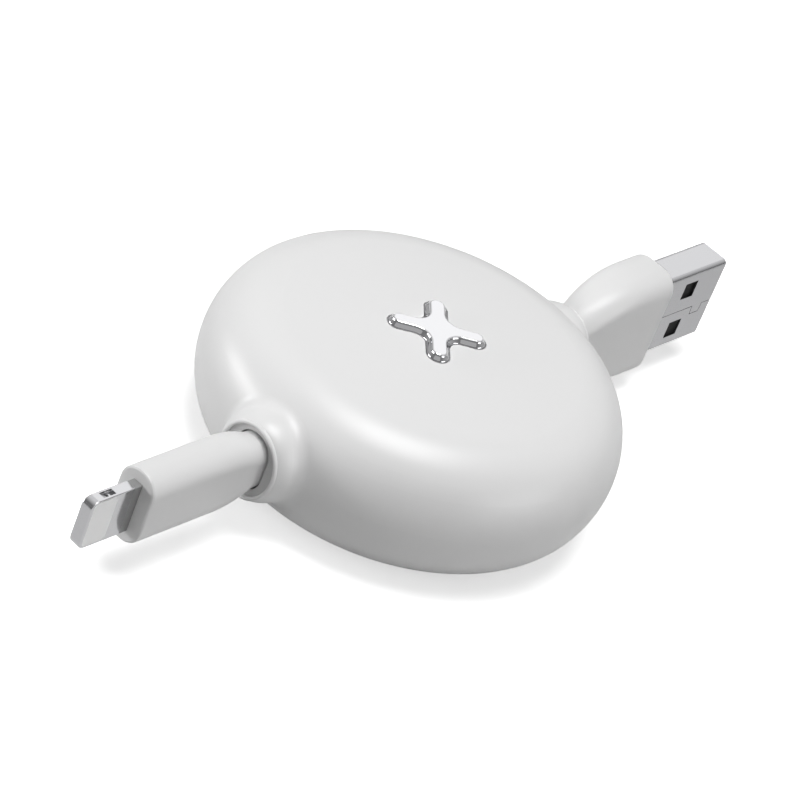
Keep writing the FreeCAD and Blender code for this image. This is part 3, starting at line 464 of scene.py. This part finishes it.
def badge_profile():
    """The badge's side as pairs of inset and height, from its foot to its top."""
    rows = [(BADGE_GAP, BADGE_FOOT)]
    roll_start = BADGE_TOP - BADGE_ROLL_TALL
    for step in range(BADGE_SIDE_ROWS + 1):
        share = step / BADGE_SIDE_ROWS
        height = BADGE_EDGE + (roll_start - BADGE_EDGE) * share
        rows.append((BADGE_GAP + BADGE_LEAN * share, height))
    for step in range(1, BADGE_ROLL_ROWS + 1):
        turn = math.pi / 2 * step / BADGE_ROLL_ROWS
        inset = BADGE_GAP + BADGE_LEAN + BADGE_ROLL * (1 - math.cos(turn))
        rows.append((inset, roll_start + BADGE_ROLL_TALL * math.sin(turn)))
    return rows


badge_rings = []
for inset, height in badge_profile():
    badge_rings.append([(x, y, height) for x, y in cross_outline(inset)])
badge = finish_piece(skin_rings("cross_badge_plate", badge_rings, cap=True), "badge_chrome")
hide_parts("cross_badge")
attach(badge, "housing")
proud = BADGE_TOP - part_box("upper_shell")[1][2]
print(f"badge: {len(badge.data.polygons)} faces, {proud / MM:.2f} mm above the crown")

# %% [markdown]
# ## Flat cable at the outlets
#
# When a plug is drawn out, flat cable follows it from the reel. The wound cable can't unwind here,
# so a short straight run of it is laid, hidden, in each outlet. A superellipse gives its section
# the flat sides and rounded edges of extruded cable.

# %% Flat cable
CABLE_HALF_TALL = 2.42 * MM
CABLE_HALF_THICK = 0.52 * MM
CABLE_START = 25.6 * MM
CABLE_END = 26.9 * MM
CABLE_ROWS = 14
CABLE_STEPS_ROUND = 40
FACE_POWER = 0.45
EDGE_POWER = 0.8


def flattened(value, power):
    """A sine or cosine raised to a power with its sign kept, for a superellipse."""
    return math.copysign(abs(value) ** power, value)


def cable_run(name, side):
    """The cable from one outlet to its plug; side is 1 for USB and -1 for the phone plug."""
    rings = []
    for row in range(CABLE_ROWS):
        along = CABLE_START + (CABLE_END - CABLE_START) * row / (CABLE_ROWS - 1)
        ring = []
        for k in range(CABLE_STEPS_ROUND):
            angle = side * 2 * math.pi * k / CABLE_STEPS_ROUND
            across = CABLE_HALF_THICK * flattened(math.cos(angle), FACE_POWER)
            height = AXIS_HEIGHT + CABLE_HALF_TALL * flattened(math.sin(angle), EDGE_POWER)
            ring.append((side * along, across, height))
        rings.append(ring)
    run = finish_piece(skin_rings(name, rings), "cable_white")
    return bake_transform(run)


for name, side, plug in (("usb_cable_run", 1, "usb_plug"), ("phone_cable_run", -1, "phone_plug")):
    run = cable_run(name, side)
    print(f"{name}: {len(run.data.vertices)} points, follows {plug}")

# %% [markdown]
# ## Backdrop
#
# A catalogue photograph on pure white has its backdrop lit by itself. Here the Light Path node does
# that: the camera sees the world and the paper as white, shiny surfaces see the same backdrop, and
# the light on the object comes from the lamps alone. Behind and above the object the backdrop is
# white in reflections too, and towards the camera's side it fades to the dim studio, which gives
# the chrome and the nickel their grey edges.

# %% Light Path helpers
# cosines of the angle from the white direction, where the fade starts and where it has ended
DARK_COSINE = 0.25
WHITE_COSINE = 0.9


def seen_by(tree, rays, otherwise, seen):
    """A mix that shows the seen shader to the named rays and the other one to all the rest."""
    path = add_node(tree, "ShaderNodeLightPath")
    chosen = path.outputs[rays[0]]
    for ray in rays[1:]:
        both = [(chosen, 0), (path.outputs[ray], 1)]
        chosen = add_node(tree, "ShaderNodeMath", both, operation="MAXIMUM").outputs[0]
    links = [(chosen, 0), (otherwise.outputs[0], 1), (seen.outputs[0], 2)]
    return add_node(tree, "ShaderNodeMixShader", links)


def fading_glow(tree, heading, dark, white):
    """What shiny surfaces see: white around a direction, fading to dark away from it."""
    place = add_node(tree, "ShaderNodeTexCoord")
    along = add_node(
        tree, "ShaderNodeVectorMath", [(place.outputs["Generated"], 0)], operation="DOT_PRODUCT"
    )
    along.inputs[1].default_value = Vector(heading).normalized()
    fade = add_node(
        tree,
        "ShaderNodeMapRange",
        [(along.outputs["Value"], "Value")],
        From_Min=DARK_COSINE,
        From_Max=WHITE_COSINE,
        To_Min=dark,
        To_Max=white,
    )
    return add_node(tree, "ShaderNodeEmission", [(fade.outputs["Result"], "Strength")])


print("two helpers: seen_by chooses what a ray sees, fading_glow makes the backdrop")

# %% [markdown]
# ## World
#
# The world has no light of its own: its strength of 0 is what matt surfaces get from it. Only rays
# that the camera, a mirror or a clear material sends out find it white.

# %% World
BEHIND_AND_ABOVE = (0.5, 0.3, 0.8)

world = bpy.data.worlds.new("Studio")
world.use_nodes = True
scene.world = world
sky = world.node_tree
unlit = sky.nodes["Background"]
unlit.inputs["Strength"].default_value = 0.0
white = add_node(sky, "ShaderNodeEmission", Strength=1.0)
faded = fading_glow(sky, BEHIND_AND_ABOVE, dark=0.25, white=1.05)
shiny = seen_by(sky, ["Is Glossy Ray"], unlit, faded)
backdrop = seen_by(sky, ["Is Camera Ray", "Is Transmission Ray"], shiny, white)
sky.links.new(backdrop.outputs[0], sky.nodes["World Output"].inputs["Surface"])
print("world: white to the camera, fading in reflections, no light of its own")

# %% [markdown]
# ## Floor
#
# The pod rests on white paper. To the camera the paper has a glow of its own on top of the lamps'
# light, so that it reaches white and only the object's shadow stays grey. The glow grows with the
# distance from the pod, where the lamps' light falls off. In reflections it is the same paper
# without the glow, and for the light that it throws back at the object it is greyer, so that the
# pod's lower flanks keep the shading that they have in the photograph.

# %% Floor
PAPER_SIDE = 6.0
SHADOW_REACH = 0.08
WHITE_BEYOND = 0.25
GLOW_NEAR = 0.55
GLOW_FAR = 1.0

bpy.ops.mesh.primitive_plane_add(size=PAPER_SIDE, location=(0, 0, 0))
floor = bpy.context.object
floor.name = "floor"
paper = bpy.data.materials.new("white_paper")
paper.use_nodes = True
sheet = paper.node_tree
sheet.nodes.remove(sheet.nodes["Principled BSDF"])
grey_paper = add_node(sheet, "ShaderNodeBsdfDiffuse", Color=linear("#BCBCBC"))
white_paper = add_node(sheet, "ShaderNodeBsdfDiffuse", Color=linear("#F6F6F6"))
spot = add_node(sheet, "ShaderNodeTexCoord")
distance = add_node(
    sheet, "ShaderNodeVectorMath", [(spot.outputs["Object"], 0)], operation="LENGTH"
)
glow_strength = add_node(
    sheet,
    "ShaderNodeMapRange",
    [(distance.outputs["Value"], "Value")],
    From_Min=SHADOW_REACH,
    From_Max=WHITE_BEYOND,
    To_Min=GLOW_NEAR,
    To_Max=GLOW_FAR,
)
glow = add_node(sheet, "ShaderNodeEmission", [(glow_strength.outputs["Result"], "Strength")])
both = [(white_paper.outputs[0], 0), (glow.outputs[0], 1)]
lit_paper = add_node(sheet, "ShaderNodeAddShader", both)
reflected = seen_by(sheet, ["Is Glossy Ray"], grey_paper, white_paper)
whole = seen_by(sheet, ["Is Camera Ray", "Is Transmission Ray"], reflected, lit_paper)
sheet.links.new(whole.outputs[0], sheet.nodes["Material Output"].inputs["Surface"])
floor.data.materials.append(paper)
print(f"floor: {PAPER_SIDE:.0f} m of white paper")

# %% [markdown]
# ## Lamps
#
# Softboxes stand where the photograph's highlights and shades ask for them: one overhead for the
# bright band on the near shoulder, a low wide one on the left for that limb, a large weak one over
# the camera, one behind that the crown and the badge reflect, and one along the side for the
# plugs' broad faces. Area lamps give the soft edges that point lamps would need many copies for.

# %% Lamps


def softbox(name, heading, away, width, height, watts):
    """A rectangular lamp in a direction from the pod, turned to face it."""
    data = bpy.data.lights.new(name, "AREA")
    data.shape = "RECTANGLE"
    data.size = width
    data.size_y = height
    data.energy = watts
    lamp = bpy.data.objects.new(name, data)
    lamp.location = Vector(heading).normalized() * away + Vector((0, 0, AXIS_HEIGHT))
    lamp.rotation_euler = Vector(heading).to_track_quat("Z", "Y").to_euler()
    scene.collection.objects.link(lamp)
    print(f"{name}: {watts} W, {width} by {height} m, {away} m away")


softbox("overhead", (-0.08, -0.05, 1), away=0.45, width=0.25, height=0.25, watts=1.65)
softbox("left", (-0.6, 0.8, 0.11), away=0.9, width=0.6, height=0.18, watts=3.9)
softbox("over_camera", (-0.5, -0.35, 0.8), away=0.9, width=1.0, height=1.0, watts=0.95)
softbox("behind", (0.71, 0.42, 0.56), away=0.9, width=0.5, height=0.5, watts=0.3)
softbox("side", (0.25, -1.0, 0.2), away=0.9, width=0.6, height=0.35, watts=1.8)

# %% [markdown]
# ## Finish
#
# The Standard view shows colours as they are written.

# %% Finish
scene.view_settings.view_transform = "Standard"
